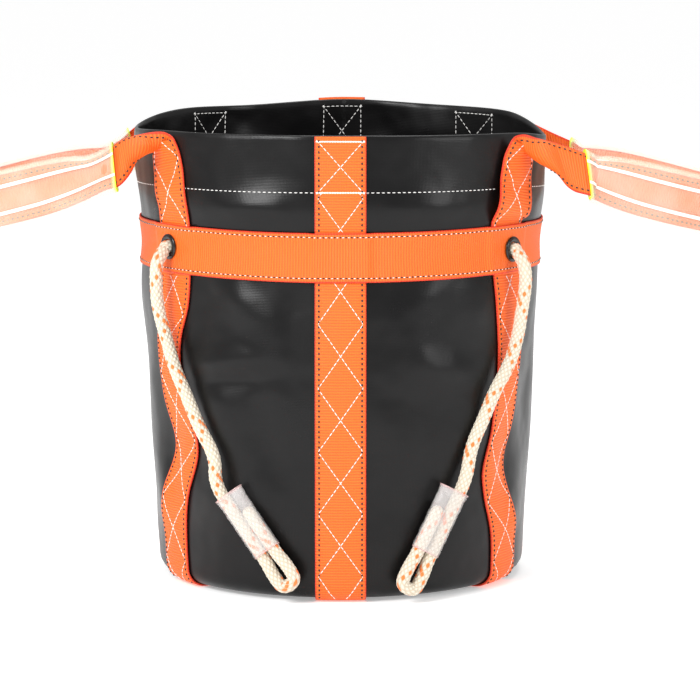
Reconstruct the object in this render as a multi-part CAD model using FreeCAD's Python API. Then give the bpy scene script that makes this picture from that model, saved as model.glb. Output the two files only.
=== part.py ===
"""Round soft-walled lifting bag for hand tools, with webbing straps, two carrying loops and two tether ropes.

Millimetres. +Z is up, +X to the right and -Y towards the front. The origin is the middle of the footprint.
The sheet of the wall, the webbing and the belt are thin shells that follow one outer form, each grown
outwards from it by its own distance, so that every layer lies clear on the one below it.
"""
import FreeCAD
import Part
import math
import os

V = FreeCAD.Vector
os.makedirs("parts", exist_ok=True)

# --- Driving dimensions ---------------------------------------------------------------------------------

BAG_HEIGHT = 355.0
# Outer form of the wall: height, half width across X, half depth across Y.
WALL_PROFILE = [
    (0.0, 143.0, 142.8),
    (60.0, 145.5, 145.3),
    (100.0, 147.0, 146.8),
    (170.0, 150.5, 148.5),
    (220.0, 153.5, 145.5),
    (240.0, 154.5, 141.5),
    (280.0, 154.5, 141.5),
    (300.0, 158.5, 141.0),
    (BAG_HEIGHT + 10.0, 160.5, 139.0),
]
SHEET = 1.2                 # coated fabric of the wall
LAYER_GAP = 0.3             # air between one layer and the next
CORNER = 11.0               # rounded corner between the wall and the base
CORNER_CENTRE_Z = 16.4

WEB_WIDTH = 38.0            # strap, belt and handle webbing
WEB = 1.5
STRAP_TOP = 350.0
STRAP_ANGLES = {"strap_front_back": 0.0, "strap_diagonal_left": -60.0, "strap_diagonal_right": 60.0}
CROSSING_FLAT = 35.0        # half length of a strap's raised run under the middle of the base
CROSSING_END = 60.0

BELT_LOW = 241.0
BELT_HIGH = BELT_LOW + WEB_WIDTH

HEM_DEPTH = 45.0
BASE_BOTTOM = 5.4           # underside of the sheet, above the three crossing straps
BASE_FLANGE_INNER = 118.0
BASE_DISC_R = 132.0
BOARD = 3.0

EYELET_ANGLE = 58.0         # from the front, round to each side
EYELET_Z = {"left": 262.5, "right": 260.5}
EYELET_HOLE_R = 5.4
EYELET_BARREL_R = 6.4
EYELET_CUT_R = 6.8
EYELET_FLANGE_R = 9.2
EYELET_FLANGE = 1.3

ROPE_D = 10.0
ROPE_R = ROPE_D / 2
ROPE_PIVOT_OUT = 6.0        # middle of the rope's bend at the eyelet, outside the wall
PIVOT_CLEAR = 0.5
KNOT_R = 10.0
TAIL_GAP = 0.6              # between the rope and its own folded-back tail
SLEEVE_WALL = 0.9
SLEEVE_SHORT = 23.5         # the sleeve stops this much short of the eye's whole length

HINGE_X = 136.0             # line on which each carrying loop folds over the rim
HINGE_Z = 350.0
LOOP_DROOP = 14.0           # below level, as the loops stand when let go
LOOP_LEG_Y = 84.0
LOOP_REACH = 186.0
LOOP_EDGE_OUT = 3.5         # from the fold line to the upper edge of the webbing on edge
LOOP_FOOT = 8.0
LOOP_TAPER = 45.0           # the webbing's twist from flat to on edge ends here
GRIP_START = 48.0
GRIP_HEIGHT = 46.0
GRIP_THICK = 7.0
GRIP_WALL = 1.2

SIDES = {"left": -1.0, "right": 1.0}

# Middle line of each tether rope, from its bend at the eyelet down the wall to its sewn end.
ROPE_ROUTES = {
    "left": [
        (-139.0, -93.2, 251.0),
        (-139.4, -94.0, 237.0),
        (-138.4, -92.4, 218.0),
        (-132.6, -92.6, 196.0),
        (-126.0, -98.6, 173.0),
        (-115.4, -108.4, 150.5),
        (-106.6, -116.0, 129.5),
        (-93.6, -125.4, 108.0),
    ],
    "right": [
        (138.8, -92.8, 250.0),
        (140.0, -92.6, 236.0),
        (137.2, -90.0, 216.0),
        (134.4, -89.4, 195.0),
        (127.6, -96.6, 174.0),
        (115.6, -108.6, 155.0),
        (107.6, -115.6, 136.0),
        (97.4, -123.4, 114.5),
    ],
}
# Middle of the doubled, sewn end: its top, and the middle of its turn at the bottom.
EYE_TOP = {"left": (-82.9, -132.2, 79.9), "right": (84.4, -131.6, 82.7)}
EYE_BOTTOM = {"left": (-40.4, -148.6, 19.3), "right": (52.0, -144.4, 16.0)}

# --- The outer form ---------------------------------------------------------------------------------------


def half_axes(z):
    """Half width and half depth of the wall's outer form at height z."""
    for low, high in zip(WALL_PROFILE, WALL_PROFILE[1:]):
        if z <= high[0]:
            t = (z - low[0]) / (high[0] - low[0])
            return low[1] + t * (high[1] - low[1]), low[2] + t * (high[2] - low[2])
    return WALL_PROFILE[-1][1:]


def ring(z, grow):
    """Closed wire round the outer form at height z, grown outwards."""
    a, b = half_axes(z)
    return Part.Wire(Part.Ellipse(V(0, 0, z), a + grow, b + grow).toShape())


def form(grow, bottom, top):
    """Solid outer form, grown outwards, with a rounded corner down to its flat bottom."""
    width = CORNER + grow
    height = CORNER_CENTRE_Z - bottom
    wires = []
    for step in range(5):
        turn = math.radians(22.5 * step)
        z = bottom + height * (1 - math.cos(turn))
        wires.append(ring(z, grow - width * (1 - math.sin(turn))))
    for z in [level[0] for level in WALL_PROFILE[1:-1]] + [top]:
        wires.append(ring(z, grow))
    return Part.makeLoft(wires, True, True)


def shell(inner, outer, bottom, thickness, top):
    """Layer between two grown forms, open at its top."""
    return form(outer, bottom, top).cut(form(inner, bottom + thickness, top + 5))


def slab(z_low, z_high):
    return Part.makeBox(500, 500, z_high - z_low, V(-250, -250, z_low))


def wall_point(angle, z, out):
    """Point out from the wall at an angle from the front, and the wall's outward direction there."""
    a, b = half_axes(z)
    x = math.sin(math.radians(angle))
    y = -math.cos(math.radians(angle))
    reach = 1 / math.hypot(x / a, y / b)
    normal = V(x * reach / a ** 2, y * reach / b ** 2, 0)
    normal.normalize()
    return V(x * reach, y * reach, z) + normal * out, normal


def eyelet_cuts():
    """Round holes for the two eyelets, through every layer of the wall."""
    cuts = []
    for side, sign in SIDES.items():
        start, normal = wall_point(sign * EYELET_ANGLE, EYELET_Z[side], -6)
        cuts.append(Part.makeCylinder(EYELET_CUT_R, 14, start, normal))
    return Part.makeCompound(cuts)


# --- Bag ----------------------------------------------------------------------------------------------------


def wall_panel():
    """Cylinder of coated sheet, turned in under the base in a narrow flange."""
    wall = shell(-SHEET, 0, BASE_BOTTOM, SHEET, BAG_HEIGHT)
    opening = Part.makeCylinder(BASE_FLANGE_INNER, 20, V(0, 0, 0))
    return wall.cut(opening).cut(eyelet_cuts())


def rim_hem():
    """Inner ply of the folded hem, round the inside of the mouth."""
    outer = -SHEET - LAYER_GAP
    hem = shell(outer - SHEET, outer, BASE_BOTTOM + 2, SHEET, BAG_HEIGHT - 1)
    return hem.common(slab(BAG_HEIGHT - HEM_DEPTH, BAG_HEIGHT))


def base_panel():
    """Disc of the same sheet, sewn on top of the wall's flange."""
    return Part.makeCylinder(BASE_DISC_R, SHEET, V(0, 0, BASE_BOTTOM + SHEET + 0.2))


def base_board():
    """Loose stiffening board that keeps the bottom flat."""
    board = Part.makeCylinder(BASE_DISC_R, BOARD, V(0, 0, BASE_BOTTOM + 2 * SHEET + 0.5))
    return board.makeFillet(1.0, board.Edges)


def base_crossing(level):
    """Raised middle of a strap's run under the base, where it passes over the straps below it."""
    low = [(-CROSSING_END, 0), (-CROSSING_FLAT, level), (CROSSING_FLAT, level), (CROSSING_END, 0)]
    high = [(y, z + WEB) for y, z in reversed(low)]
    points = [V(-WEB_WIDTH / 2, y, z) for y, z in low + high + low[:1]]
    return Part.Face(Part.makePolygon(points)).extrude(V(WEB_WIDTH, 0, 0))


def strap(angle, level):
    """One webbing strap up both sides of the bag, and flat under its base."""
    layer = shell(LAYER_GAP, LAYER_GAP + WEB, 0, WEB, STRAP_TOP)
    band = Part.makeBox(WEB_WIDTH, 500, 500, V(-WEB_WIDTH / 2, -250, -5))
    middle = Part.makeBox(WEB_WIDTH, 2 * CROSSING_END, 10, V(-WEB_WIDTH / 2, -CROSSING_END, -5))
    crossing = base_crossing(level)
    for piece in (band, middle, crossing):
        piece.rotate(V(0, 0, 0), V(0, 0, 1), angle)
    return layer.common(band).cut(middle).fuse(crossing).removeSplitter().cut(eyelet_cuts())


def belt_strap():
    """Webbing belt sewn all round over the upright straps."""
    inner = 2 * LAYER_GAP + WEB
    layer = shell(inner, inner + WEB, 0, WEB, BAG_HEIGHT)
    return layer.common(slab(BELT_LOW, BELT_HIGH)).cut(eyelet_cuts())


# --- Eyelets and ropes --------------------------------------------------------------------------------------


def eyelet(side):
    """Rolled brass eyelet: a barrel through the layers and a rounded flange outside the belt."""
    belt_face = 2 * LAYER_GAP + 2 * WEB
    start, normal = wall_point(SIDES[side] * EYELET_ANGLE, EYELET_Z[side], -3.4)
    flange_start = start + normal * (3.4 + belt_face + 0.3)
    barrel = Part.makeCylinder(EYELET_BARREL_R, 3.4 + belt_face + 0.6, start, normal)
    flange = Part.makeCylinder(EYELET_FLANGE_R, EYELET_FLANGE, flange_start, normal)
    solid = barrel.fuse(flange).cut(Part.makeCylinder(EYELET_HOLE_R, 20, start - normal, normal))
    face_z = flange_start + normal * EYELET_FLANGE
    lip = [e for e in solid.Edges if abs((e.CenterOfMass - face_z).dot(normal)) < 0.01]
    return solid.makeFillet(0.45, lip)


def eyelet_washer(side):
    """Flat washer of the eyelet, inside the bag."""
    start, normal = wall_point(SIDES[side] * EYELET_ANGLE, EYELET_Z[side], -2.6)
    washer = Part.makeCylinder(EYELET_FLANGE_R, 0.8, start, normal)
    return washer.cut(Part.makeCylinder(EYELET_BARREL_R + 0.1, 4, start - normal, normal))


def rope_pivot(side):
    return wall_point(SIDES[side] * EYELET_ANGLE, EYELET_Z[side], ROPE_PIVOT_OUT)


def rope_stub(side):
    """Rope through the eyelet, rounded where the free rope bends away from it."""
    pivot, normal = rope_pivot(side)
    length = ROPE_PIVOT_OUT + 6.0
    stub = Part.makeCylinder(ROPE_R, length, pivot - normal * length, normal)
    return stub.fuse(Part.makeSphere(ROPE_R, pivot)).removeSplitter()


def stopper_knot(side):
    """Overhand knot inside the wall that keeps the rope from pulling through."""
    pivot, normal = rope_pivot(side)
    start = pivot - normal * (ROPE_PIVOT_OUT + 6.2)
    knot = Part.makeCylinder(KNOT_R, 15.0, start - normal * 15.0, normal)
    return knot.makeFillet(5.0, knot.Edges)


def rounded_path(points, label):
    """Straight runs joined by tangent arcs, each as large as its two runs allow."""
    edges = []
    start = points[0]
    radii = []
    for before, point, after in zip(points, points[1:], points[2:]):
        back = before - point
        ahead = after - point
        shorter = min(back.Length, ahead.Length)
        back.normalize()
        ahead.normalize()
        turn = math.pi - back.getAngle(ahead)
        trim = 0.45 * shorter
        radius = trim / math.tan(turn / 2)
        radii.append(round(radius, 1))
        enter = point + back * trim
        leave = point + ahead * trim
        to_middle = back + ahead
        to_middle.normalize()
        middle = point + to_middle * (radius / math.cos(turn / 2) - radius)
        edges.append(Part.LineSegment(start, enter).toShape())
        edges.append(Part.Arc(enter, middle, leave).toShape())
        start = leave
    edges.append(Part.LineSegment(start, points[-1]).toShape())
    print(label, "radii", radii)
    return Part.Wire(edges)


def tube(points, label):
    """Round tube of the rope's diameter along a rounded path."""
    path = rounded_path(points, label)
    direction = points[1] - points[0]
    section = Part.Wire(Part.makeCircle(ROPE_R, points[0], direction))
    solid = path.makePipeShell([section], True, True)
    solid = Part.makeSolid(solid) if solid.ShapeType != "Solid" else solid
    expected = math.pi * ROPE_R ** 2 * path.Length
    print(label, "length", round(path.Length, 1), "volume ratio", round(solid.Volume / expected, 4))
    return solid


def eye_frame(side):
    """Top middle of the doubled rope, its direction down, its sideways direction and its outward one."""
    top = V(*EYE_TOP[side])
    down = V(*EYE_BOTTOM[side]) - top
    length = down.Length
    down.normalize()
    outward = V(top.x + down.x * length / 2, top.y + down.y * length / 2, 0)
    across = down.cross(outward) * SIDES[side]
    across.normalize()
    out = across.cross(down) * SIDES[side]
    return top, down, across, out, length


def main_leg(side):
    """Top of the leg of the doubled end that carries on from the free rope."""
    top, down, across, out, length = eye_frame(side)
    return top - across * (ROPE_R + TAIL_GAP / 2)


def rope(side):
    """Free rope, from its bend outside the eyelet to the top of its doubled end."""
    pivot, normal = rope_pivot(side)
    route = [V(*point) for point in ROPE_ROUTES[side]]
    lead = route[0] - pivot
    lead.normalize()
    end = main_leg(side)
    straight = end - eye_frame(side)[1] * 14
    return tube([pivot + lead * (ROPE_R + PIVOT_CLEAR)] + route + [straight, end], "rope_" + side)


def rope_eye(side):
    """Rope folded back beside itself into a small eye."""
    top, down, across, out, length = eye_frame(side)
    leg = ROPE_R + TAIL_GAP / 2
    wide = leg + 1.6
    outline = [(-leg, 0), (-leg, length - 20), (-wide, length - 12), (-wide, length), (wide, length)]
    outline += [(wide, length - 12), (leg, length - 20), (leg, 14)]
    return tube([top + across * x + down * s for x, s in outline], "rope_eye_" + side)


def stadium(half_width, half_height):
    """Flat-sided oval wire about the origin, in the XY plane."""
    half = half_width - half_height
    ends = [V(-half, half_height, 0), V(half, half_height, 0), V(half, -half_height, 0), V(-half, -half_height, 0)]
    return Part.Wire([
        Part.LineSegment(ends[0], ends[1]).toShape(),
        Part.Arc(ends[1], V(half_width, 0, 0), ends[2]).toShape(),
        Part.LineSegment(ends[2], ends[3]).toShape(),
        Part.Arc(ends[3], V(-half_width, 0, 0), ends[0]).toShape(),
    ])


def clear_sleeve(side):
    """Clear shrink sleeve over the doubled rope."""
    top, down, across, out, length = eye_frame(side)
    half_height = ROPE_R + 0.35
    half_width = 2 * ROPE_R + TAIL_GAP / 2 + 0.35
    outer = Part.Face(stadium(half_width + SLEEVE_WALL, half_height + SLEEVE_WALL))
    inner = Part.Face(stadium(half_width, half_height))
    sleeve = outer.cut(inner).extrude(V(0, 0, length - SLEEVE_SHORT))
    sleeve.Placement = FreeCAD.Placement(top - down * 2, FreeCAD.Rotation(across, V(), down, "ZXY"))
    return sleeve


# --- Carrying loops -------------------------------------------------------------------------------------------


def loop_band(inner, outer, low, high):
    """U-shaped band on edge, in the loop's own axes: X out from the fold, Y along it, Z up."""
    straight = LOOP_REACH - LOOP_LEG_Y

    def outline(reach):
        ends = [V(0, -reach, 0), V(straight, -reach, 0), V(straight, reach, 0), V(0, reach, 0)]
        return Part.Face(Part.Wire([
            Part.LineSegment(ends[0], ends[1]).toShape(),
            Part.Arc(ends[1], V(straight + reach, 0, 0), ends[2]).toShape(),
            Part.LineSegment(ends[2], ends[3]).toShape(),
            Part.LineSegment(ends[3], ends[0]).toShape(),
        ]))

    band = outline(LOOP_LEG_Y + outer).cut(outline(LOOP_LEG_Y + inner)).extrude(V(0, 0, high - low))
    band.translate(V(0, 0, low))
    return band


def place_loop(shape, side):
    """Move a loop from its own axes to its side of the bag, at rest."""
    shape.rotate(V(0, 0, 0), V(0, 1, 0), LOOP_DROOP)
    shape.translate(V(HINGE_X, 0, HINGE_Z))
    return shape if side == "right" else shape.mirror(V(0, 0, 0), V(1, 0, 0))


def handle(side):
    """Loop of webbing carried on from the side straps, folded out over the rim."""
    upper = -LOOP_EDGE_OUT
    lower = upper - WEB_WIDTH
    band = loop_band(-WEB / 2, WEB / 2, lower, upper)
    foot = [(LOOP_FOOT, upper), (LOOP_FOOT, upper - 9), (LOOP_TAPER, lower), (400, lower), (400, upper)]
    profile = Part.Face(Part.makePolygon([V(x, -200, z) for x, z in foot + foot[:1]]))
    return place_loop(band.common(profile.extrude(V(0, 400, 0))), side)


def grip_sleeve(side):
    """Flattened plastic tube over the loop, cut square at both ends."""
    middle = -LOOP_EDGE_OUT - WEB_WIDTH / 2
    half = GRIP_HEIGHT / 2
    outer = loop_band(-GRIP_THICK / 2, GRIP_THICK / 2, middle - half, middle + half)
    inside = GRIP_THICK / 2 - GRIP_WALL
    inner = loop_band(-inside, inside, middle - half + GRIP_WALL, middle + half - GRIP_WALL)
    beyond = Part.makeBox(400, 400, 200, V(GRIP_START, -200, -150))
    return place_loop(outer.cut(inner).common(beyond), side)


# --- Write each sub-part -----------------------------------------------------------------------------------------


def save(name, shape):
    solids = shape.Solids
    shape = solids[0] if len(solids) == 1 else Part.makeCompound(solids)
    box = shape.BoundBox
    print(name, len(solids), "solids", "valid" if shape.isValid() else "INVALID", round(shape.Volume),
          [round(v, 1) for v in (box.XMin, box.XMax, box.YMin, box.YMax, box.ZMin, box.ZMax)])
    shape.exportStep("parts/" + name + ".step")


save("wall_panel", wall_panel())
save("rim_hem", rim_hem())
save("base_panel", base_panel())
save("base_board", base_board())
for order, (name, angle) in enumerate(STRAP_ANGLES.items()):
    save(name, strap(angle, order * (WEB + LAYER_GAP)))
save("belt_strap", belt_strap())
for side in SIDES:
    save("eyelet_" + side, eyelet(side))
    save("eyelet_washer_" + side, eyelet_washer(side))
    save("rope_stub_" + side, rope_stub(side))
    save("stopper_knot_" + side, stopper_knot(side))
    save("rope_" + side, rope(side))
    save("rope_eye_" + side, rope_eye(side))
    save("clear_sleeve_" + side, clear_sleeve(side))
    save("handle_" + side, handle(side))
    save("grip_sleeve_" + side, grip_sleeve(side))
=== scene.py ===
"""Soft round lifting bag for hand tools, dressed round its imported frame.

Lengths are worked out in millimetres and turned into metres when a mesh is made. Angles go round the bag in
degrees from its front, positive to its right. A height on the wall is measured up the sheet from the floor.
"""
import math

import bmesh
import bpy
import numpy as np
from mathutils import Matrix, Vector


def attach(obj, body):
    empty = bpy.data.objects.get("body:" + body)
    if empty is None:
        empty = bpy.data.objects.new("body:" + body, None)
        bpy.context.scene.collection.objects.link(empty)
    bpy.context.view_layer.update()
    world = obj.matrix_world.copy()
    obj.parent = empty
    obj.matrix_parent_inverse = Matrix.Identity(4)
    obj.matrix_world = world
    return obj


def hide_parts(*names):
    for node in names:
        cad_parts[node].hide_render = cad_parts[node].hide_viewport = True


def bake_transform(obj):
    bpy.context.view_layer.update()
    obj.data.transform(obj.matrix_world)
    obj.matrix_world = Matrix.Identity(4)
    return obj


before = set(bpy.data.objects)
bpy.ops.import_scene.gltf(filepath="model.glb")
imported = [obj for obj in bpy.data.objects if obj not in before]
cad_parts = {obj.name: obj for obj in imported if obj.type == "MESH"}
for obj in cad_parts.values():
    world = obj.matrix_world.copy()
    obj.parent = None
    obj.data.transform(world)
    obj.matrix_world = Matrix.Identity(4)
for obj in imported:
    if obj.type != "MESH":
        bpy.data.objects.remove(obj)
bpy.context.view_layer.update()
scene = bpy.context.scene

# --- The sheet of the wall --------------------------------------------------------------------------------
# One sheet of black coated fabric, rolled into a cylinder and sewn. It stands by its own stiffness, so it is
# round at the base, pressed to an oval at the mouth, and dented wherever hands have pushed it.

MM = 0.001
SHEET = 1.2
RIM_HEIGHT = 355.0
HEM_LINE = 310.0
CORNER = 12.0
BASE_LEVEL = 2.1
CORNER_TOP = BASE_LEVEL + CORNER
CORNER_END = CORNER_TOP - CORNER * math.pi / 2
FLANGE_END = CORNER_END - 12.0


def curve_through(places, values, period=None):
    """Smooth function through the values at the places, repeating where a period is given."""
    xs, ys = np.array(places, float), np.array(values, float)
    if period:
        xs = np.concatenate([xs[-2:] - period, xs, xs[:2] + period])
        ys = np.concatenate([ys[-2:], ys, ys[:2]])
    slopes = np.gradient(ys, xs)

    def value(x):
        x = np.asarray(x, float)
        if period:
            x = (x - places[0]) % period + places[0]
        i = np.clip(np.searchsorted(xs, x) - 1, 0, len(xs) - 2)
        step = xs[i + 1] - xs[i]
        t = np.clip((x - xs[i]) / step, 0, 1)
        rise = slopes[i] * (t ** 3 - 2 * t ** 2 + t) + slopes[i + 1] * (t ** 3 - t ** 2)
        return ys[i] * (2 * t ** 3 - 3 * t ** 2 + 1) + ys[i + 1] * (3 * t ** 2 - 2 * t ** 3) + step * rise

    return value


half_width = curve_through(
    [0, 60, 100, 150, 190, 225, 243, 262, 280, 296, 320, 370],
    [143, 145.5, 147, 149.8, 151.5, 154, 154.5, 154, 156.5, 158.5, 159.5, 160.5])
half_depth = curve_through(
    [0, 60, 100, 150, 190, 225, 243, 262, 280, 296, 320, 370],
    [143, 145.3, 147, 149, 148, 145, 142.5, 140.5, 141.5, 143.5, 141.5, 139])
rim_height = curve_through(
    [-150, -120, -90, -60, -30, 0, 30, 60, 90, 120, 150, 180],
    [361, 359.5, 350, 351, 350.5, 350.5, 350, 349, 344.5, 358, 361.5, 365], 360)

# Soft dents and bulges: angle, height, half size round the bag, half size up it, lean, depth outwards.
DENTS = [
    (-28, 296, 26, 9, 0.00, 3.4), (-30, 268, 60, 7, 0.05, -1.6), (28, 296, 24, 9, 0.00, 2.6),
    (-30, 226, 17, 15, -0.60, 3.6), (-14, 214, 10, 26, 0.30, -2.6), (-44, 206, 12, 22, 0.40, -2.8),
    (-34, 180, 26, 9, 0.12, 3.4), (-32, 166, 30, 7, 0.10, -2.8), (-36, 138, 20, 24, -0.75, 4.2),
    (-22, 118, 12, 26, -0.55, -2.8), (-50, 112, 14, 24, -0.30, -3.4), (-34, 74, 22, 16, 0.20, 2.2),
    (-62, 108, 16, 24, 0.20, -6.0), (-68, 62, 18, 20, 0.00, 3.0), (-76, 150, 16, 30, 0.10, 2.2),
    (26, 232, 16, 14, 0.50, 2.6), (14, 196, 14, 22, -0.40, -2.4), (30, 176, 22, 10, -0.15, 2.6),
    (20, 148, 18, 12, -0.35, -2.0), (38, 118, 18, 22, 0.60, 2.8), (24, 82, 18, 18, 0.35, -1.8),
    (60, 96, 16, 26, -0.20, -6.5), (64, 48, 16, 18, 0.00, 2.8), (74, 150, 16, 30, -0.10, -2.2),
    (90, 110, 20, 30, 0.20, 2.6), (-92, 200, 20, 34, 0.20, 2.4), (100, 210, 18, 30, -0.30, -3.0),
    (-106, 130, 20, 34, 0.40, -3.4), (120, 70, 20, 30, 0.10, -4.0), (-122, 190, 18, 26, 0.10, -3.0),
    (142, 230, 20, 20, 0.40, 2.8), (-146, 96, 22, 24, -0.40, 3.4), (152, 150, 22, 26, 0.50, -3.2),
    (-160, 216, 18, 20, -0.40, -2.6), (168, 96, 20, 30, 0.20, 2.4), (-178, 190, 20, 26, 0.30, -2.0),
    (150, 334, 22, 20, 0.10, -3.4), (-150, 336, 24, 20, 0.00, 3.0), (-120, 340, 20, 22, 0.00, -3.0),
    (-168, 342, 18, 22, 0.00, -2.4), (168, 340, 20, 22, 0.20, 3.0), (122, 338, 18, 20, 0.00, 3.2),
    (92, 330, 18, 24, 0.10, -2.6), (-90, 330, 18, 24, -0.10, 2.6), (-96, 296, 16, 12, 0.00, -2.4),
]
RIPPLES = [(3, 34, 0.9), (5, 47, 0.7), (8, 29, 0.5), (11, 63, 0.45), (13, 21, 0.3)]


def dent_depth(angle, height):
    """How far the sheet stands out of its even form, from its dents and ripples."""
    depth = np.zeros(np.broadcast(angle, height).shape)
    for at, up, across, tall, lean, out in DENTS:
        round_bag = ((angle - at + 180) % 360 - 180) * 2.6
        rise = height - up - lean * round_bag
        depth += out * np.exp(-(round_bag / across) ** 2 / 1.4 - (rise / tall) ** 2 / 1.4)
    for order, (count, pitch, out) in enumerate(RIPPLES):
        phase = 1.7 * order
        wave = np.sin(np.radians(angle) * count + height / pitch + phase)
        depth += out * wave * np.cos(height / (pitch * 1.3) - phase)
    settle = np.clip((height - CORNER_TOP) / 40, 0, 1)
    held = 1 - 0.75 * np.exp(-((height - 260) / 22) ** 2)
    return depth * held * settle * settle * (3 - 2 * settle)


def sheet_point(angle, height, lift=0.0):
    """Points of the sheet's outer face, lifted radially, for arrays of angles and heights."""
    angle, height = np.broadcast_arrays(np.asarray(angle, float), np.asarray(height, float))
    turn = np.clip((height - CORNER_END) / CORNER, 0, math.pi / 2)
    under = np.clip(CORNER_END - height, 0, None)
    inset = CORNER * (1 - np.sin(turn)) + under
    level = np.where(height > CORNER_TOP, height, BASE_LEVEL + CORNER * (1 - np.cos(turn)))
    rise = np.clip((height - 262) / (RIM_HEIGHT - 262), 0, None)
    level = level + (rim_height(angle) - RIM_HEIGHT) * rise
    wide, deep = half_width(level), half_depth(level)
    sin, cos = np.sin(np.radians(angle)), np.cos(np.radians(angle))
    reach = 1 / np.sqrt((sin / wide) ** 2 + (cos / deep) ** 2)
    reach = reach + dent_depth(angle, height) - inset + lift
    return np.stack([reach * sin, -reach * cos, level], axis=-1)


def on_sheet(angle, height, out=0.0):
    """Points a given distance out from the sheet's outer face, and the outward directions there."""
    here = sheet_point(angle, height)
    round_bag = sheet_point(np.asarray(angle) + 0.2, height) - here
    upwards = sheet_point(angle, np.asarray(height) + 0.5) - here
    normal = np.cross(round_bag, upwards)
    normal /= np.linalg.norm(normal, axis=-1, keepdims=True)
    return here + normal * np.asarray(out)[..., None], normal


def make_mesh(name, points, faces, uv=None):
    """New object from points in millimetres; uv holds one pair for each point."""
    mesh = bpy.data.meshes.new(name)
    mesh.from_pydata((np.asarray(points, float).reshape(-1, 3) * MM).tolist(), [], faces)
    if uv is not None:
        layer = mesh.uv_layers.new(name="cloth")
        corners = np.empty(len(mesh.loops), int)
        mesh.loops.foreach_get("vertex_index", corners)
        layer.data.foreach_set("uv", (np.asarray(uv, float).reshape(-1, 2)[corners] * MM).ravel())
    if faces:
        shape = bmesh.new()
        shape.from_mesh(mesh)
        bmesh.ops.recalc_face_normals(shape, faces=shape.faces)
        shape.to_mesh(mesh)
        shape.free()
    mesh.shade_smooth()
    mesh.update()
    piece = bpy.data.objects.new(name, mesh)
    scene.collection.objects.link(piece)
    return piece


def grid_faces(rows, columns, wrap_rows=False, wrap_columns=False):
    """Quads of a grid of points kept row by row."""
    faces = []
    for i in range(rows if wrap_rows else rows - 1):
        for j in range(columns if wrap_columns else columns - 1):
            below = (i + 1) % rows
            beside = (j + 1) % columns
            here, under = i * columns, below * columns
            faces.append((here + j, here + beside, under + beside, under + j))
    return faces


def sheet_profile():
    """Heights and outward distances round one cut through the wall: outer face, rim, hem and inner face."""
    outer = [FLANGE_END, (FLANGE_END + CORNER_END) / 2]
    outer += list(np.linspace(CORNER_END, CORNER_TOP, 6)) + list(np.linspace(20, 350, 118))
    profile = [(height, 0.0) for height in outer]
    for step in range(1, 6):
        turn = math.pi * step / 6
        profile.append((352 + 2.2 * math.sin(turn), -1.6 + 1.6 * math.cos(turn)))
    profile += [(height, -3.2) for height in np.linspace(350, HEM_LINE - 1.5, 16)]
    profile += [(HEM_LINE - 2.5, -2.6), (HEM_LINE - 3.0, -1.4)]
    profile += [(height, -SHEET) for height in np.linspace(HEM_LINE - 6, 20, 60)]
    profile += [(height, -SHEET) for height in np.linspace(CORNER_TOP, CORNER_END, 4)]
    profile.append((FLANGE_END, -SHEET))
    return np.array(profile)


def colour(red, green, blue):
    """Linear colour from the 0 to 255 values of a swatch."""
    swatch = (red / 255, green / 255, blue / 255)
    linear = [c / 12.92 if c <= 0.04045 else ((c + 0.055) / 1.055) ** 2.4 for c in swatch]
    return (*linear, 1.0)


def new_material(name, **values):
    """Material with a Principled shader, its plain values set by name."""
    material = bpy.data.materials.new(name)
    material.use_nodes = True
    shader = material.node_tree.nodes["Principled BSDF"]
    for socket, value in values.items():
        shader.inputs[socket.replace("_", " ")].default_value = value
    return material, material.node_tree.nodes, material.node_tree.links, shader


def new_group(name, inputs, outputs):
    """Shader node group with named number or colour inputs; a colour's default has four values."""
    group = bpy.data.node_groups.new(name, "ShaderNodeTree")
    for label, default in inputs.items():
        kind = "NodeSocketColor" if isinstance(default, tuple) and len(default) == 4 else "NodeSocketFloat"
        kind = "NodeSocketVector" if isinstance(default, tuple) and len(default) == 3 else kind
        group.interface.new_socket(label, in_out="INPUT", socket_type=kind).default_value = default
    for label, kind in outputs.items():
        group.interface.new_socket(label, in_out="OUTPUT", socket_type="NodeSocket" + kind)
    given, result = group.nodes.new("NodeGroupInput"), group.nodes.new("NodeGroupOutput")
    return group, group.nodes, group.links, given, result


def maths(nodes, links, operation, first, second=None, clamp=False):
    """Math node on sockets or plain numbers; gives its output."""
    node = nodes.new("ShaderNodeMath")
    node.operation = operation
    node.use_clamp = clamp
    for slot, value in enumerate((first, second)):
        if value is None:
            continue
        if isinstance(value, (int, float)):
            node.inputs[slot].default_value = value
        else:
            links.new(value, node.inputs[slot])
    return node.outputs[0]


def mixed(nodes, links, factor, first, second):
    """Colour mixed between two sockets or plain colours; gives its output."""
    node = nodes.new("ShaderNodeMix")
    node.data_type = "RGBA"
    links.new(factor, [s for s in node.inputs if s.name == "Factor" and s.type == "VALUE"][0])
    slots = [s for s in node.inputs if s.type == "RGBA"]
    for socket, value in zip(slots, (first, second)):
        if isinstance(value, tuple):
            socket.default_value = value
        else:
            links.new(value, socket)
    return [s for s in node.outputs if s.type == "RGBA"][0]


def noise_node(nodes, links, vector, scale, detail=3.0, roughness=0.5):
    node = nodes.new("ShaderNodeTexNoise")
    node.inputs["Scale"].default_value = scale
    node.inputs["Detail"].default_value = detail
    node.inputs["Roughness"].default_value = roughness
    links.new(vector, node.inputs["Vector"])
    return node.outputs["Fac"]


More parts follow.
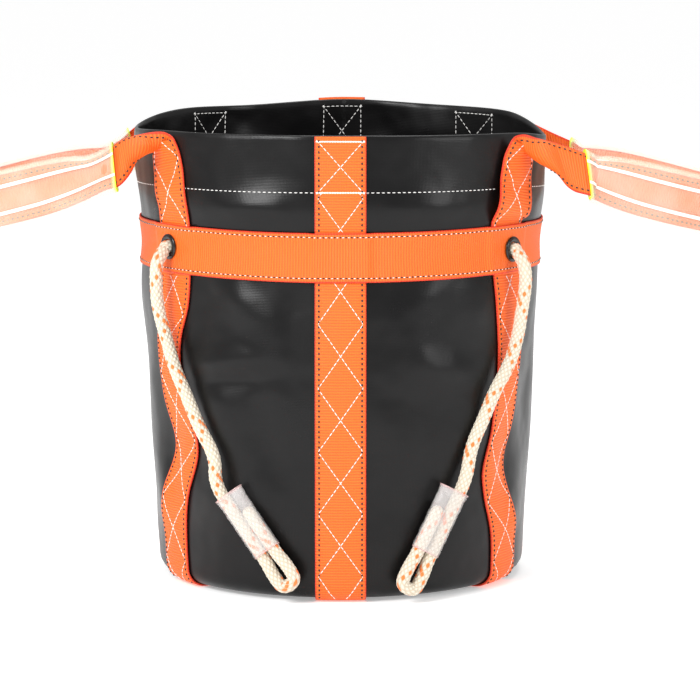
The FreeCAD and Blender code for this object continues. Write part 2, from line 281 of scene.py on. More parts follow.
def handled_group():
    """Faint marks of use on any finish: a soft blotch mask and a fine grain, both from 0 to 1."""
    group, nodes, links, given, made = new_group(
        "handled_marks", {"Position": (0.0, 0.0, 0.0), "Blotch Scale": 14.0, "Grain Scale": 700.0},
        {"Blotch": "Float", "Grain": "Float"})
    for label, detail in (("Blotch", 4.0), ("Grain", 2.0)):
        node = nodes.new("ShaderNodeTexNoise")
        node.inputs["Detail"].default_value = detail
        links.new(given.outputs["Position"], node.inputs["Vector"])
        links.new(given.outputs[label + " Scale"], node.inputs["Scale"])
        links.new(node.outputs["Fac"], made.inputs[label])
    return group


HANDLED = handled_group()


def handled_marks(nodes, links, blotch_scale, grain_scale):
    """Place the handled marks in a material; gives its blotch and grain outputs and the position socket."""
    place = nodes.new("ShaderNodeTexCoord").outputs["Object"]
    node = nodes.new("ShaderNodeGroup")
    node.node_tree = HANDLED
    node.inputs["Blotch Scale"].default_value = blotch_scale
    node.inputs["Grain Scale"].default_value = grain_scale
    links.new(place, node.inputs["Position"])
    return node.outputs["Blotch"], node.outputs["Grain"], place


def add_bump(nodes, links, shader, height, distance):
    """Full-strength bump from a socket, as deep as the distance in metres."""
    node = nodes.new("ShaderNodeBump")
    node.inputs["Strength"].default_value = 1.0
    node.inputs["Distance"].default_value = distance
    links.new(height, node.inputs["Height"])
    links.new(node.outputs["Normal"], shader.inputs["Normal"])


def coated_sheet():
    """Black coated fabric: a soft gloss over the faint grid of its scrim, duller where it is rubbed."""
    material, nodes, links, shader = new_material("black_coated_sheet", Specular_IOR_Level=0.22)
    blotch, grain, place = handled_marks(nodes, links, 16.0, 900.0)
    cloth = nodes.new("ShaderNodeUVMap")
    cloth.uv_map = "cloth"
    split = nodes.new("ShaderNodeSeparateXYZ")
    links.new(cloth.outputs["UV"], split.inputs["Vector"])
    threads = []
    for axis in ("X", "Y"):
        turns = maths(nodes, links, "MULTIPLY", split.outputs[axis], 2 * math.pi / 0.00115)
        threads.append(maths(nodes, links, "SINE", turns))
    scrim = maths(nodes, links, "MULTIPLY", maths(nodes, links, "ADD", threads[0], threads[1]), 0.25)
    tone = mixed(nodes, links, blotch, colour(7, 7, 8), colour(19, 18, 18))
    links.new(tone, shader.inputs["Base Color"])
    rough = maths(nodes, links, "MULTIPLY", blotch, 0.22)
    rough = maths(nodes, links, "ADD", rough, 0.2)
    links.new(rough, shader.inputs["Roughness"])
    creases = noise_node(nodes, links, place, 19.0, 2.0, 0.45)
    relief = maths(nodes, links, "MULTIPLY", creases, 26.0)
    relief = maths(nodes, links, "ADD", relief, maths(nodes, links, "MULTIPLY", scrim, 0.25))
    relief = maths(nodes, links, "ADD", relief, maths(nodes, links, "MULTIPLY", grain, 0.12))
    add_bump(nodes, links, shader, relief, 0.00016)
    return material


SHEET_FINISH = coated_sheet()


def bag_wall():
    columns = 264
    angles = np.linspace(-180, 180, columns, endpoint=False)
    profile = sheet_profile()
    angle, height = np.meshgrid(angles, profile[:, 0])
    out = np.repeat(profile[:, 1:], columns, axis=1)
    points, _ = on_sheet(angle, height, out)
    uv = np.stack([angle * 2.6, height], axis=-1)
    faces = grid_faces(len(profile), columns, wrap_rows=True, wrap_columns=True)
    wall = make_mesh("bag_wall", points, faces, uv)
    wall.data.materials.append(SHEET_FINISH)
    return wall


wall = bag_wall()
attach(wall, "bag")
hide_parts("wall_panel", "rim_hem")

# --- Webbing straps ---------------------------------------------------------------------------------------
# Three lengths of orange polyester webbing run up the wall, under the base and up the other side. The two
# diagonal ones carry on from under the belt as the carrying loops. All are sewn down along both edges.

WEB_HALF = 19.0
WEB = 1.5
WEB_LIFT = 0.4
STRAP_TOP = 353.5
BELT_MIDDLE = 260.0

left_lean = curve_through(
    [-5, 61, 70, 110, 150, 190, 219, 262, 307, 340, 352],
    [-61, -61, -60.3, -55.8, -59, -60.5, -56.8, -56.5, -56.4, -59.5, -61])
right_lean = curve_through(
    [-5, 10, 45, 75, 90, 128, 172, 219, 262, 307, 352],
    [60, 60, 58.8, 54.9, 53.6, 56.9, 59.5, 57.7, 56.5, 56.4, 59.5])


def steady(angle):
    """Angle round the wall of an upright that keeps it at every height."""
    return lambda height: angle + 0 * height


STRAP_PLACES = {
    "strap_front_back": (steady(0), steady(180), STRAP_TOP, 357.0, 0),
    "strap_diagonal_left": (left_lean, steady(120), BELT_MIDDLE, BELT_MIDDLE, 1),
    "strap_diagonal_right": (right_lean, steady(-120), BELT_MIDDLE, BELT_MIDDLE, 2),
}


def webbing_finish():
    """Orange webbing: ribs across it, fine warp along them, painted groove shade, a redder selvedge at both
    edges.
    """
    material, nodes, links, shader = new_material("orange_webbing", Roughness=0.55, Sheen_Weight=0.06)
    shader.inputs["Sheen Tint"].default_value = colour(255, 150, 70)
    blotch, grain, place = handled_marks(nodes, links, 40.0, 1400.0)
    cloth = nodes.new("ShaderNodeUVMap")
    cloth.uv_map = "cloth"
    split = nodes.new("ShaderNodeSeparateXYZ")
    links.new(cloth.outputs["UV"], split.inputs["Vector"])
    rib = maths(nodes, links, "MULTIPLY", split.outputs["Y"], 2 * math.pi / 0.0021)
    rib = maths(nodes, links, "MULTIPLY", maths(nodes, links, "SINE", rib), 0.75)
    warp = maths(nodes, links, "MULTIPLY", split.outputs["X"], 2 * math.pi / 0.0012)
    warp = maths(nodes, links, "MULTIPLY", maths(nodes, links, "SINE", warp), 0.25)
    weave = maths(nodes, links, "ADD", rib, warp)
    # Painted light and shade: the weave's grooves are coloured darker orange and its crowns lighter.
    painted_groove_shade = maths(nodes, links, "ADD", maths(nodes, links, "MULTIPLY", weave, 0.32), 0.5, clamp=True)
    body = mixed(nodes, links, painted_groove_shade, colour(222, 68, 3), colour(252, 126, 14))
    body = mixed(nodes, links, maths(nodes, links, "MULTIPLY", blotch, 0.45), body, colour(244, 94, 10))
    edge = maths(nodes, links, "ABSOLUTE", split.outputs["X"])
    edge = maths(nodes, links, "MULTIPLY", maths(nodes, links, "SUBTRACT", edge, 0.0176), 1200.0, clamp=True)
    body = mixed(nodes, links, maths(nodes, links, "MULTIPLY", edge, 0.8), body, colour(214, 26, 14))
    links.new(body, shader.inputs["Base Color"])
    relief = maths(nodes, links, "ADD", weave, maths(nodes, links, "MULTIPLY", grain, 0.5))
    add_bump(nodes, links, shader, relief, 0.00022)
    return material


WEBBING = webbing_finish()


def webbing_section():
    """Offsets across and out of the webbing's rounded section, all the way round it."""
    over = [(u, WEB) for u in np.linspace(-18.3, 18.3, 15)]
    under = [(u, 0.0) for u in np.linspace(18.3, -18.3, 9)]
    right = [(18.8, 1.3), (WEB_HALF, 0.75), (18.8, 0.2)]
    left = [(-18.8, 0.2), (-WEB_HALF, 0.75), (-18.8, 1.3)]
    return np.array(over + right + under + left)


SECTION = webbing_section()


def webbing_strip(name, rows, closed=False):
    """Webbing from its rows of points, each row going once round the section."""
    count, around = rows.shape[:2]
    middle = rows[:, :15].mean(axis=1)
    along = np.concatenate([[0], np.cumsum(np.linalg.norm(np.diff(middle, axis=0), axis=1))])
    uv = np.stack(np.broadcast_arrays(SECTION[None, :, 0], along[:, None]), axis=-1)
    faces = grid_faces(count, around, wrap_rows=closed, wrap_columns=True)
    if not closed:
        faces += [tuple(range(around)), tuple(range((count - 1) * around, count * around))]
    strip = make_mesh(name, rows, faces, uv)
    strip.data.materials.append(WEBBING)
    return strip


def up_wall(lean, heights, across, out):
    """Points on the wall beside a strap's middle line, at distances across it and out from the sheet."""
    heights, across, out = np.broadcast_arrays(np.asarray(heights, float), across, out)
    middle = sheet_point(lean(heights), heights)
    reach = np.hypot(middle[..., 0], middle[..., 1])
    return on_sheet(lean(heights) + np.degrees(across / reach), heights, out)[0]


def strap_rows(front, back, front_top, back_top, level):
    """Rows of one whole strap: down the front, under the base over the straps below it, and up the back."""
    across, out = SECTION[None, :, 0], SECTION[None, :, 1] + WEB_LIFT
    step = 2.5
    down = np.arange(front_top, CORNER_END, -step)[:, None]
    rise = np.arange(CORNER_END + 0.1, back_top, step)[:, None]
    first = up_wall(front, down, across, out)
    last = up_wall(back, rise, -across, out)
    start = up_wall(front, np.array([CORNER_END, CORNER_END]), np.zeros(2), np.zeros(2))[0]
    end = up_wall(back, np.array([CORNER_END, CORNER_END]), np.zeros(2), np.zeros(2))[0]
    run = np.linalg.norm((end - start)[:2])
    ahead = (end - start) / run
    beside = np.array([-ahead[1], ahead[0], 0.0])
    turn = math.radians(float(front(np.array(0.0))))
    if np.dot(beside, (math.cos(turn), math.sin(turn), 0)) < 0:
        beside = -beside
    spots = np.linspace(2, run - 2, 60)
    hump = np.clip((62 - np.abs(spots - run / 2)) / 27, 0, 1)
    raised = 1.8 * level * hump * hump * (3 - 2 * hump)
    flat = start + spots[:, None, None] * ahead + across[..., None] * beside
    flat[..., 2] = BASE_LEVEL - out + raised[:, None]
    return np.concatenate([first, flat, last])


for name, places in STRAP_PLACES.items():
    piece = webbing_strip(name + "_webbing", strap_rows(*places))
    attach(piece, "bag")
    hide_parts(name)

# --- Belt -------------------------------------------------------------------------------------------------
# One turn of the same webbing sewn round the bag over the uprights. It lies on the sheet between them, and
# steps up where it crosses each one.

STEP_UP = WEB + 0.3
UPRIGHTS = [0.0, 180.0, -56.5, 56.5, 120.0, -120.0]


def belt_lift(angle):
    """How far the belt's inner face stands off the sheet."""
    lift = np.zeros(np.shape(angle))
    for at in UPRIGHTS:
        beside = np.abs((angle - at + 180) % 360 - 180) * 2.6
        t = np.clip((27 - beside) / 7, 0, 1)
        lift = np.maximum(lift, STEP_UP * t * t * (3 - 2 * t))
    return lift + WEB_LIFT


def on_belt(angle, across, out):
    """Points at a distance up or down from the belt's middle line and out from its inner face."""
    middle = BELT_MIDDLE + 1.3 * (1 - np.cos(np.radians(2 * np.asarray(angle))))
    return on_sheet(angle, middle + across, belt_lift(angle) + out)[0]


belt_angles = np.linspace(-180, 180, 600, endpoint=False)
belt_points = on_belt(belt_angles[:, None], SECTION[None, :, 0], SECTION[None, :, 1])
belt = webbing_strip("belt_webbing", belt_points, True)
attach(belt, "bag")
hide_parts("belt_strap")

# --- Base -------------------------------------------------------------------------------------------------
# A disc of the wall's sheet is sewn over the wall's turned-in flange and lifts a little in the middle, where
# the three straps cross under it. A loose board lies on it.

BASE_R = 132.0


def base_disc():
    radii = np.concatenate([[0.01], np.linspace(8, 62, 12), np.linspace(70, BASE_R, 10)])
    turns = np.linspace(0, 2 * math.pi, 96, endpoint=False)
    bulge = np.clip((66 - radii) / 30, 0, 1)
    low = 3.7 + 2.0 * bulge * bulge * (3 - 2 * bulge)
    radii = np.concatenate([radii, radii[::-1]])
    level = np.concatenate([low, low[::-1] + SHEET])
    x, y = radii[:, None] * np.sin(turns), radii[:, None] * np.cos(turns)
    points = np.stack([x, y, np.broadcast_to(level[:, None], x.shape)], axis=-1)
    faces = grid_faces(len(radii), 96, wrap_columns=True)
    faces += [tuple(range(96)), tuple(range((len(radii) - 1) * 96, len(radii) * 96))]
    disc = make_mesh("base_sheet", points, faces, points[..., :2])
    disc.data.materials.append(SHEET_FINISH)
    return disc


base = base_disc()
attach(base, "bag")
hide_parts("base_panel")


def board_finish():
    """Black moulded board with a fine pebbled grain."""
    material, nodes, links, shader = new_material("base_board_plastic", Roughness=0.6)
    blotch, grain, place = handled_marks(nodes, links, 22.0, 900.0)
    tint = mixed(nodes, links, blotch, colour(24, 24, 25), colour(40, 39, 39))
    links.new(tint, shader.inputs["Base Color"])
    add_bump(nodes, links, shader, grain, 0.00025)
    return material


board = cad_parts["base_board"]
board.data.materials.clear()
board.data.materials.append(board_finish())

# --- Carrying loops ---------------------------------------------------------------------------------------
# Each loop is the end of one diagonal strap on either side: it leaves the wall at the rim, rolls over on
# itself until it stands on edge, runs out into its sleeve, turns, and comes back the same way.

DROOP = math.radians(14.0)
HINGE = (136.0, 350.0)
# Both edges of the webbing from the wall to the sleeve: out to the side, towards the back, up.
FORE_EDGE = {
    "left": [
        (116, -99, 305), (117, -96, 325), (121, -92, 339), (127, -88, 347), (134, -86, 350),
        (146, -84, 349), (153, -82, 347), (164, -80, 343), (170, -78, 339), (177, -77, 333)],
    "right": [
        (117, -102, 292), (120, -97, 320), (124, -93, 336), (130, -89, 346), (137, -86, 348),
        (148, -84, 345), (157, -82, 342), (170, -80, 338), (179, -78, 335), (187, -77, 331)],
}
HIND_EDGE = {
    "left": [
        (140, -70, 302), (141, -68, 318), (143, -64, 335), (147, -62, 345), (152, -72, 339),
        (154, -80, 332), (155, -88, 325), (158, -94, 318), (165, -102, 310), (174, -104, 307)],
    "right": [
        (142, -72, 286), (144, -69, 318), (147, -65, 334), (151, -62, 338), (156, -74, 331),
        (163, -88, 319), (169, -96, 310), (176, -102, 305), (182, -104, 303), (188, -104, 302)],
}
SLEEVE_FROM = {"left": 168.0, "right": 184.0}
BACK_RISE = 7.0


def outer_turn():
    """Upper and lower edges of the loop's outer part, in its own plane: out from the fold, across, up."""
    rows = []
    for way in np.linspace(0, 1, 61):
        lean = math.radians(45 * (1 - math.sin(math.pi * way)) ** 1.6)
        if way < 0.17:
            spot, out = (62 + 38 * way / 0.17, -88.0), (0.0, -1.0)
        elif way > 0.83:
            spot, out = (62 + 38 * (1 - way) / 0.17, 88.0), (0.0, 1.0)
        else:
            turn = math.pi * ((way - 0.17) / 0.66 - 0.5)
            out = (math.cos(turn), math.sin(turn))
            spot = (100 + 84 * out[0], 88 * out[1])
        half = np.array([out[0] * math.sin(lean), out[1] * math.sin(lean), -math.cos(lean)]) * WEB_HALF
        middle = np.array([spot[0], spot[1], -22.0])
        rows.append((middle - half, middle + half))
    return np.array(rows)


def stand_loop(points):
    """From the loop's own plane to its place beside the bag, still measured out to its own side."""
    out = HINGE[0] + points[..., 0] * math.cos(DROOP) + points[..., 2] * math.sin(DROOP)
    up = HINGE[1] - points[..., 0] * math.sin(DROOP) + points[..., 2] * math.cos(DROOP)
    return np.stack([out, points[..., 1], up], axis=-1)


def even_rows(edges, gap):
    """Both edges resampled together along a smooth line, with their rows an even distance apart."""
    middle = edges.mean(axis=1)
    along = np.concatenate([[0], np.cumsum(np.linalg.norm(np.diff(middle, axis=0), axis=1))])
    spots = np.linspace(0, along[-1], int(along[-1] / gap))
    smooth = []
    for edge in range(2):
        line = [curve_through(along, edges[:, edge, axis])(spots) for axis in range(3)]
        smooth.append(np.stack(line, axis=-1))
    return np.stack(smooth, axis=1)


def loop_edges(side):
    """Both edges of one whole loop, from under the belt in front to under the belt at the back."""
    sign = -1 if side == "left" else 1
    lean = left_lean if side == "left" else right_lean
    heights = np.array([BELT_MIDDLE, 268.0, 276.0, 283.0] + ([292.0] if side == "left" else []))
    front, back = [], []
    for height in heights:
        fore = up_wall(lean, np.array([height]), np.array([-sign * WEB_HALF]), np.array([WEB_LIFT]))[0]
        hind = up_wall(lean, np.array([height]), np.array([sign * WEB_HALF]), np.array([WEB_LIFT]))[0]
        front.append((fore * (sign, 1, 1), hind * (sign, 1, 1)))
        turn = steady(sign * 120)
        fore = up_wall(turn, np.array([height]), np.array([sign * WEB_HALF]), np.array([WEB_LIFT]))[0]
        hind = up_wall(turn, np.array([height]), np.array([-sign * WEB_HALF]), np.array([WEB_LIFT]))[0]
        back.append((fore * (sign, 1, 1), hind * (sign, 1, 1)))
    roll = np.stack([np.array(FORE_EDGE[side], float), np.array(HIND_EDGE[side], float)], axis=1)
    behind = roll * (1, -1, 1)
    behind[:, :, 2] += BACK_RISE * np.exp(-((behind[:, :, 0] - 135) / 26) ** 2)
    outer = stand_loop(outer_turn())
    edges = np.concatenate([np.array(front), roll, outer, behind[::-1], np.array(back)[::-1]])
    return even_rows(edges, 2.0)


def loop_frames(edges):
    """Middle of each row of a loop, and its directions across and out of the webbing's outer face."""
    middle = edges.mean(axis=1)
    ahead = np.gradient(middle, axis=0)
    across = edges[:, 1] - edges[:, 0]
    chord = np.linalg.norm(across, axis=1, keepdims=True)
    face = np.cross(across, ahead)
    face /= np.linalg.norm(face, axis=1, keepdims=True)
    return middle, across / chord, face, chord[:, 0]


def loop_rows(edges, side, section=SECTION[None]):
    """Rows of the loop's webbing; where its edges come close, it bows out between them."""
    middle, across, face, chord = loop_frames(edges)
    bow = np.sqrt(0.375 * chord * np.clip(2 * WEB_HALF - chord, 0, None)) * 0.8
    place = section[..., 0] / WEB_HALF
    rows = middle[:, None] + across[:, None] * place[..., None] * (np.minimum(chord, 40) / 2)[:, None, None]
    lifted = section[..., 1] + bow[:, None] * (1 - place ** 2)
    rows = rows + face[:, None] * lifted[..., None]
    angle = np.degrees(np.arctan2(rows[..., 0] * (-1 if side == "left" else 1), -rows[..., 1]))
    reach = np.hypot(rows[..., 0], rows[..., 1])
    skin = sheet_point(angle, np.clip(rows[..., 2], 20, 351))
    short = np.hypot(skin[..., 0], skin[..., 1]) + WEB_LIFT + section[..., 1] - reach
    push = np.where((rows[..., 2] < 356) & (reach < 166), np.clip(short, 0, None), 0) / reach
    rows[..., :2] *= (1 + push)[..., None]
    return rows


LOOP_EDGES = {side: loop_edges(side) for side in ("left", "right")}
for side, sign in (("left", -1), ("right", 1)):
    rows = loop_rows(LOOP_EDGES[side], side)
    loop = webbing_strip("loop_webbing_" + side, rows * (sign, 1, 1))
    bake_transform(loop)
    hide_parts("handle_" + side)

# --- Loop sleeves -----------------------------------------------------------------------------------------
# A flattened tube of translucent lime plastic over the outer part of each loop, cut square at both ends.
# Its cut rims carry a painted edge glow over its own paler lime tint. Two white ribs lie along each face.

SLEEVE_HALF = 23.0
SLEEVE_OUT = 3.6
SLEEVE_WALL = 1.1


def sleeve_finish():
    """Translucent lime plastic, a little cloudy, with a painted edge glow at its cut rims."""
    material, nodes, links, shader = new_material("lime_sleeve_plastic", Roughness=0.28, Alpha=0.6)
    blotch, grain, place = handled_marks(nodes, links, 30.0, 800.0)
    cut = nodes.new("ShaderNodeAttribute")
    cut.attribute_name = "cut_rim"
    body = mixed(nodes, links, blotch, colour(240, 246, 214), colour(252, 252, 240))
    # Painted edge glow: the cut rims are coloured bright lime and made opaque, over the plastic's own paler
    # tint.
    tint = mixed(nodes, links, cut.outputs["Fac"], body, colour(226, 255, 20))
    links.new(tint, shader.inputs["Base Color"])
    cover = maths(nodes, links, "ADD", maths(nodes, links, "MULTIPLY", blotch, 0.2), 0.08)
    links.new(maths(nodes, links, "MAXIMUM", cover, cut.outputs["Fac"]), shader.inputs["Alpha"])
    add_bump(nodes, links, shader, grain, 0.0002)
    material.surface_render_method = "BLENDED"
    return material


SLEEVE_FINISH = sleeve_finish()


def rib_finish():
    """Opaque white plastic of the ribs, slightly uneven."""
    material, nodes, links, shader = new_material("white_sleeve_rib", Roughness=0.35)
    blotch, grain, place = handled_marks(nodes, links, 50.0, 900.0)
    tint = mixed(nodes, links, blotch, colour(240, 238, 226), colour(255, 255, 250))
    links.new(tint, shader.inputs["Base Color"])
    add_bump(nodes, links, shader, grain, 0.0001)
    return material


RIB_FINISH = rib_finish()


def sleeve_rib(name, middle, across, face, place, out):
    """One flat rib along a sleeve, at a distance across it, on its outer or inner face."""
    section = np.array([(place - 1.4, 0.0), (place - 1.1, 0.35), (place + 1.1, 0.35), (place + 1.4, 0.0)])
    rows = middle[:, None] + across[:, None] * section[None, :, :1]
    rows = rows + face[:, None] * (out + np.sign(out) * section[None, :, 1:])
    ends = [(0, 1, 2, 3), tuple(range(4 * len(rows) - 4, 4 * len(rows)))]
    rib = make_mesh(name, rows, grid_faces(len(rows), 4, wrap_columns=True) + ends)
    rib.data.materials.append(RIB_FINISH)
    return rib


def flat_oval(half_width, half_height, count):
    """Points round a flat-sided oval, as offsets across and out."""
    turns = np.linspace(0, 2 * math.pi, count, endpoint=False)
    side = half_width - half_height
    return np.stack([np.sign(np.cos(turns)) * side * np.minimum(1, np.abs(np.cos(turns)) * 1.6)
                     + half_height * np.cos(turns), half_height * np.sin(turns)], axis=-1)


def tube_shell(name, outer, inner, rims):
    """Open-ended tube from its outer and inner rows; the rims attribute is 1 at both cut ends."""
    count, around = outer.shape[:2]
    points = np.concatenate([outer, inner[::-1]])
    faces = grid_faces(2 * count, around, wrap_rows=True, wrap_columns=True)
    across = np.linspace(0, 120, around)
    along = np.concatenate([[0], np.cumsum(np.linalg.norm(np.diff(outer.mean(axis=1), axis=0), axis=1))])
    along = np.concatenate([along, along[::-1]])
    shell = make_mesh(name, points, faces, np.stack(np.meshgrid(across, along), axis=-1))
    if rims:
        ends = np.minimum(along, along.max() - along)
        mark = np.repeat(np.clip(1.6 - ends / rims, 0, 1), around)
        shell.data.attributes.new("cut_rim", "FLOAT", "POINT").data.foreach_set("value", mark)
    return shell


for side, sign in (("left", -1), ("right", 1)):
    edges = LOOP_EDGES[side]
    middle, across, face, chord = loop_frames(edges)
    inside = (middle[:, 0] > SLEEVE_FROM[side])
    wide, thin = [], []
    for grow, rows in ((0.0, wide), (-SLEEVE_WALL, thin)):
        oval = flat_oval(SLEEVE_HALF + grow, SLEEVE_OUT + grow, 40)
        rows.append(middle[inside][:, None] + across[inside][:, None] * oval[None, :, :1]
                    + face[inside][:, None] * (oval[None, :, 1:] + WEB / 2))
    sleeve = tube_shell("loop_sleeve_" + side, wide[0] * (sign, 1, 1), thin[0] * (sign, 1, 1), 1.6)
    sleeve.data.materials.append(SLEEVE_FINISH)
    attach(sleeve, "handle_" + side)
    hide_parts("grip_sleeve_" + side)
    # Two white ribs on each face, one either side of its middle, on the outer face and on the inner face.
    for count, (place, out) in enumerate(((-10, 4.3), (10, 4.3), (-10, -2.8), (10, -2.8))):
        rib = sleeve_rib("sleeve_rib_" + side + str(count), middle[inside] * (sign, 1, 1),
                         across[inside] * (sign, 1, 1), face[inside] * (sign, 1, 1), place, out)
        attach(rib, "handle_" + side)

# --- Eyelets ----------------------------------------------------------------------------------------------
# A rolled metal ring, black and glossy, set through the belt, the upright and the sheet on each side of the
# front, with a flat washer inside the bag.

EYELET_TURN = 58.0
EYELET_LEVEL = {"left": 262.5, "right": 260.5}
EXIT = {"left": Vector((-0.13244, -0.08333, 0.2625)), "right": Vector((0.13244, -0.08333, 0.2605))}
EXIT_WAY = {"left": Vector((-0.80194, -0.5974, 0.0)), "right": Vector((0.80194, -0.5974, 0.0))}


def eyelet_finish():
    """Black lacquer on brass, with a little brass where the rope has rubbed it."""
    material, nodes, links, shader = new_material("black_eyelet", Roughness=0.2)
    blotch, grain, place = handled_marks(nodes, links, 160.0, 1800.0)
    worn = maths(nodes, links, "MULTIPLY", maths(nodes, links, "SUBTRACT", blotch, 0.66), 6.0, clamp=True)
    links.new(mixed(nodes, links, worn, colour(14, 14, 15), colour(70, 58, 38)), shader.inputs["Base Color"])
    gloss = maths(nodes, links, "ADD", maths(nodes, links, "MULTIPLY", grain, 0.2), 0.12)
    links.new(gloss, shader.inputs["Roughness"])
    add_bump(nodes, links, shader, grain, 0.00005)
    return material


EYELET_FINISH = eyelet_finish()


def lathe(name, outline, middle, way):
    """Closed ring turned from an outline of radius and height, on a point and facing a direction."""
    turns = np.linspace(0, 2 * math.pi, 64, endpoint=False)
    way = np.array(way)
    beside = np.cross((0, 0, 1), way)
    above = np.cross(way, beside)
    outline = np.array(outline)
    spoke = np.cos(turns)[:, None] * beside + np.sin(turns)[:, None] * above
    points = np.array(middle) + spoke[:, None] * outline[None, :, :1] + way * outline[None, :, 1:]
    return make_mesh(name, points, grid_faces(64, len(outline), wrap_rows=True, wrap_columns=True))


for side, sign in (("left", -1), ("right", 1)):
    way = np.array(EXIT_WAY[side])
    through = np.array(EXIT[side]) / MM - way * 6.0
    face = on_belt(np.array(sign * EYELET_TURN), np.array(EYELET_LEVEL[side] - BELT_MIDDLE), np.array(WEB))
    stand = float(np.clip(np.dot(face - through, way) + 0.2, 3.4, 5.4))
    turns = np.linspace(math.pi * 0.95, -0.1, 12)
    roll = [(7.6 + 2.1 * math.cos(t), 0.35 + 1.35 * math.sin(t)) for t in turns]
    ring = lathe("eyelet_ring_" + side, roll + [(9.6, 0.0), (6.4, -0.1), (6.4, -5.6), (5.5, -5.6)],
                 through + way * stand, way)
    ring.data.materials.append(EYELET_FINISH)
    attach(ring, "bag")
    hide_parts("eyelet_" + side)
    rounded = [(6.7, 0.4), (6.9, 0.8), (8.8, 0.8), (9.2, 0.4), (8.8, 0.0), (6.9, 0.0)]
    washer = lathe("eyelet_back_" + side, rounded, through - way * 3.4, way)
    washer.data.materials.append(EYELET_FINISH)
    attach(washer, "bag")
    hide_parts("eyelet_washer_" + side)

# --- Tether ropes -----------------------------------------------------------------------------------------
# Braided 10 mm rope, cream with two orange tracer yarns. Each one is knotted inside the bag, comes out of
# its eyelet, hangs down the wall, and is folded back on itself to a small eye.

ROPE_R = 5.0
BRAID_LEAD = 42.0
ROPE_POINTS = {
    "left": [(-0.1390, -0.0932, 0.2510), (-0.1394, -0.0940, 0.2370), (-0.1384, -0.0924, 0.2180),
             (-0.1326, -0.0926, 0.1960), (-0.1260, -0.0986, 0.1730), (-0.1154, -0.1084, 0.1505),
             (-0.1066, -0.1160, 0.1295), (-0.0936, -0.1254, 0.1080)],
    "right": [(0.1388, -0.0928, 0.2500), (0.1400, -0.0926, 0.2360), (0.1372, -0.0900, 0.2160),
              (0.1344, -0.0894, 0.1950), (0.1276, -0.0966, 0.1740), (0.1156, -0.1086, 0.1550),
              (0.1076, -0.1156, 0.1360), (0.0974, -0.1234, 0.1145)],
}
EYE_TOP = {"left": Vector((-0.0829, -0.1322, 0.0799)), "right": Vector((0.0844, -0.1316, 0.0827))}
EYE_BOTTOM = {"left": Vector((-0.0404, -0.1486, 0.0193)), "right": Vector((0.0520, -0.1444, 0.0160))}
LEG = 0.0053


def rope_finish():
    """Braided rope: painted shade in the grooves between yarn crowns, and one tracer yarn in each direction.
    """
    material, nodes, links, shader = new_material("braided_rope", Roughness=0.75, Sheen_Weight=0.2)
    blotch, grain, place = handled_marks(nodes, links, 60.0, 2200.0)
    turns = nodes.new("ShaderNodeUVMap")
    turns.uv_map = "cloth"
    split = nodes.new("ShaderNodeSeparateXYZ")
    links.new(turns.outputs["UV"], split.inputs["Vector"])
    round_rope = maths(nodes, links, "MULTIPLY", split.outputs["X"], 8000.0)
    along = maths(nodes, links, "MULTIPLY", split.outputs["Y"], 8000.0 / BRAID_LEAD)
    crowns, yarns = [], []
    for way in ("ADD", "SUBTRACT"):
        lay = maths(nodes, links, way, round_rope, along)
        crowns.append(maths(nodes, links, "ABSOLUTE", maths(nodes, links, "SINE", maths(
            nodes, links, "MULTIPLY", lay, math.pi))))
        yarns.append(maths(nodes, links, "FLOOR", lay))
    over = maths(nodes, links, "FLOORED_MODULO", maths(nodes, links, "ADD", yarns[0], yarns[1]), 2.0)
    under = maths(nodes, links, "SUBTRACT", 1.0, over)
    marks = []
    for yarn, shown in zip(yarns, (over, under)):
        first = maths(nodes, links, "LESS_THAN", maths(nodes, links, "FLOORED_MODULO", yarn, 8.0), 0.5)
        marks.append(maths(nodes, links, "MULTIPLY", first, shown))
    tracer = maths(nodes, links, "ADD", marks[0], marks[1], clamp=True)
    crown = maths(nodes, links, "MULTIPLY", crowns[0], crowns[1])
    tracer = maths(nodes, links, "MULTIPLY", tracer, maths(nodes, links, "GREATER_THAN", crown, 0.12))
    # Painted shade: the cream is coloured darker in the grooves between the yarn crowns.
    cream = mixed(nodes, links, crown, colour(196, 182, 158), colour(240, 232, 216))
    cream = mixed(nodes, links, maths(nodes, links, "MULTIPLY", blotch, 0.4), cream, colour(222, 208, 184))
    links.new(mixed(nodes, links, tracer, cream, colour(240, 128, 58)), shader.inputs["Base Color"])
    relief = maths(nodes, links, "ADD", crown, maths(nodes, links, "MULTIPLY", grain, 0.4))
    add_bump(nodes, links, shader, relief, 0.0005)
    return material


ROPE_FINISH = rope_finish()


def line_points(points, gap):
    """Points an even distance apart along the smooth curve that the given points, in metres, pull on."""
    curve = bpy.data.curves.new("line", "CURVE")
    curve.dimensions = "3D"
    spline = curve.splines.new("NURBS")
    spline.points.add(len(points) - 1)
    for knot, point in zip(spline.points, points):
        knot.co = (*point, 1.0)
    spline.order_u = 3
    spline.use_endpoint_u = True
    spline.resolution_u = 24
    holder = bpy.data.objects.new("line", curve)
    scene.collection.objects.link(holder)
    bpy.context.view_layer.update()
    mesh = bpy.data.meshes.new_from_object(holder.evaluated_get(bpy.context.evaluated_depsgraph_get()))
    found = np.array([vertex.co for vertex in mesh.vertices]) / MM
    bpy.data.objects.remove(holder)
    bpy.data.meshes.remove(mesh)
    steps = np.linalg.norm(np.diff(found, axis=0), axis=1)
    found = found[np.concatenate([[True], steps > 1e-4])]
    along = np.concatenate([[0], np.cumsum(np.linalg.norm(np.diff(found, axis=0), axis=1))])
    spots = np.linspace(0, along[-1], max(8, int(along[-1] / gap)))
    return np.stack([np.interp(spots, along, found[:, axis]) for axis in range(3)], axis=-1)


